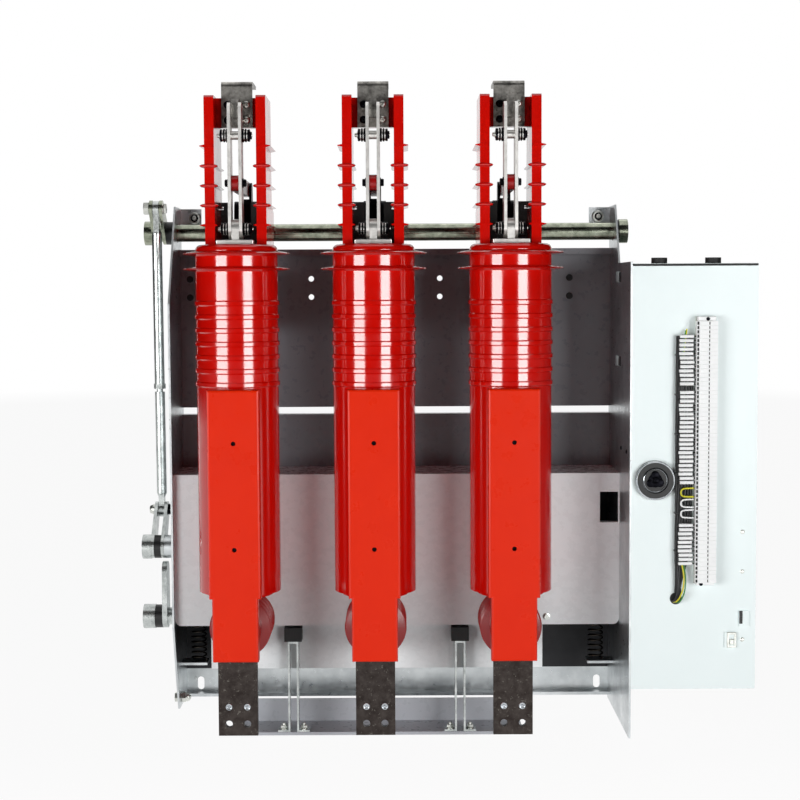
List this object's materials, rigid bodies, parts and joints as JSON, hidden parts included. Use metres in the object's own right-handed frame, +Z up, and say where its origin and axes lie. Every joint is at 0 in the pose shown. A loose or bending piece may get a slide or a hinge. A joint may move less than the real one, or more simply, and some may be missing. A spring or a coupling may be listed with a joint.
{
  "type": "vacuum circuit breaker",
  "caption": "Three-pole vacuum circuit breaker on a sheet-steel frame, with a knife isolator above each pole, a side linkage and a mechanism box.",
  "frame": {"origin": "rear mounting face, on the line of the lower rail's slots, below the middle pole", "axes": "+X to the mechanism box, the front with the knives and terminals faces -Y, +Z up"},
  "size_m": [0.9555, 0.292, 1.036],
  "materials": {
    "zinc_sheet": "satin",
    "grey_powder_coat": "matte",
    "dark_sheet": "matte",
    "white_powder_coat": "satin",
    "pale_powder_coat": "satin",
    "epoxy_red": "gloss",
    "epoxy_orange": "gloss",
    "tinned_copper": "worn plating",
    "silver_plated_copper": "satin",
    "zinc_steel": "satin",
    "spring_steel": "satin",
    "black_steel": "black oxide",
    "black_plastic": "matte",
    "white_plastic": "matte",
    "black_rubber": "matte"
  },
  "bodies": {
    "frame": {"left_side_plate": "zinc_sheet", "right_side_plate": "zinc_sheet", "mounting_tabs": "zinc_sheet", "upper_back_panel": "grey_powder_coat", "middle_back_panel": "grey_powder_coat", "rear_closing_plate": "dark_sheet", "lower_rail": "zinc_sheet", "lower_apron": "grey_powder_coat", "insulator_beam": "grey_powder_coat", "lower_cover": "white_powder_coat", "pole_left": "epoxy_red", "pole_middle": "epoxy_red", "pole_right": "epoxy_red", "pole_hood_left": "epoxy_orange", "pole_hood_middle": "epoxy_orange", "pole_hood_right": "epoxy_orange", "throat_barriers": "black_plastic", "lower_insulators": "epoxy_red", "upper_insulators": "epoxy_red", "lower_terminals": "tinned_copper", "fixed_contacts": "tinned_copper", "knife_bases": "silver_plated_copper", "shaft_bushings": "black_plastic", "interlock_lever": "zinc_steel", "hanger_blocks": "black_rubber", "apron_hangers": "zinc_steel", "spring_seats": "zinc_steel", "opening_springs": "spring_steel", "mechanism_box": "pale_powder_coat", "mechanism_front": "pale_powder_coat", "crank_socket": "black_plastic", "terminal_strip": "white_plastic", "wire_harness": "black_rubber", "cable_grommets": "black_rubber", "door_latches": "zinc_steel"},
    "isolating_shaft": {"isolating_shaft": "zinc_steel", "shaft_levers": "black_steel"},
    "knife_left": {"knife_left": "silver_plated_copper"},
    "knife_middle": {"knife_middle": "silver_plated_copper"},
    "knife_right": {"knife_right": "silver_plated_copper"},
    "drive_link_left": {"drive_link_left": "epoxy_red"},
    "drive_link_middle": {"drive_link_middle": "epoxy_red"},
    "drive_link_right": {"drive_link_right": "epoxy_red"},
    "pull_rod": {"pull_rod": "zinc_steel"},
    "lower_crank": {"lower_crank": "zinc_steel", "crank_spacer": "black_plastic"}
  },
  "joints": [
    {"name": "isolating_shaft_turn", "type": "hinge", "parent": "frame", "child": "isolating_shaft", "pos_m": [0, -0.044, 0.755], "axis": [1, 0, 0], "range_deg": [0, 60]},
    {"name": "knife_left_swing", "type": "hinge", "parent": "frame", "child": "knife_left", "pos_m": [-0.21, -0.207, 0.755], "axis": [1, 0, 0], "range_deg": [0, 60]},
    {"name": "drive_link_left_pivot", "type": "hinge", "parent": "isolating_shaft", "child": "drive_link_left", "pos_m": [-0.21, -0.044, 0.825], "axis": [1, 0, 0], "range_deg": [-60, 0]},
    {"name": "knife_middle_swing", "type": "hinge", "parent": "frame", "child": "knife_middle", "pos_m": [0, -0.207, 0.755], "axis": [1, 0, 0], "range_deg": [0, 60]},
    {"name": "drive_link_middle_pivot", "type": "hinge", "parent": "isolating_shaft", "child": "drive_link_middle", "pos_m": [0, -0.044, 0.825], "axis": [1, 0, 0], "range_deg": [-60, 0]},
    {"name": "knife_right_swing", "type": "hinge", "parent": "frame", "child": "knife_right", "pos_m": [0.21, -0.207, 0.755], "axis": [1, 0, 0], "range_deg": [0, 60]},
    {"name": "drive_link_right_pivot", "type": "hinge", "parent": "isolating_shaft", "child": "drive_link_right", "pos_m": [0.21, -0.044, 0.825], "axis": [1, 0, 0], "range_deg": [-60, 0]},
    {"name": "pull_rod_pivot", "type": "hinge", "parent": "isolating_shaft", "child": "pull_rod", "pos_m": [-0.35, -0.08496, 0.79319], "axis": [1, 0, 0], "range_deg": [-55.5, 0]},
    {"name": "lower_crank_turn", "type": "hinge", "parent": "frame", "child": "lower_crank", "pos_m": [-0.35, -0.115, 0.251], "axis": [1, 0, 0], "range_deg": [-49, 0]}
  ],
  "couplings": [
    {"joint": "knife_left_swing", "follows": "isolating_shaft_turn", "ratio": 1},
    {"joint": "drive_link_left_pivot", "follows": "isolating_shaft_turn", "ratio": -1},
    {"joint": "knife_middle_swing", "follows": "isolating_shaft_turn", "ratio": 1},
    {"joint": "drive_link_middle_pivot", "follows": "isolating_shaft_turn", "ratio": -1},
    {"joint": "knife_right_swing", "follows": "isolating_shaft_turn", "ratio": 1},
    {"joint": "drive_link_right_pivot", "follows": "isolating_shaft_turn", "ratio": -1},
    {"joint": "pull_rod_pivot", "follows": "isolating_shaft_turn", "ratio": -0.92447},
    {"joint": "lower_crank_turn", "follows": "isolating_shaft_turn", "ratio": -0.81633}
  ]
}
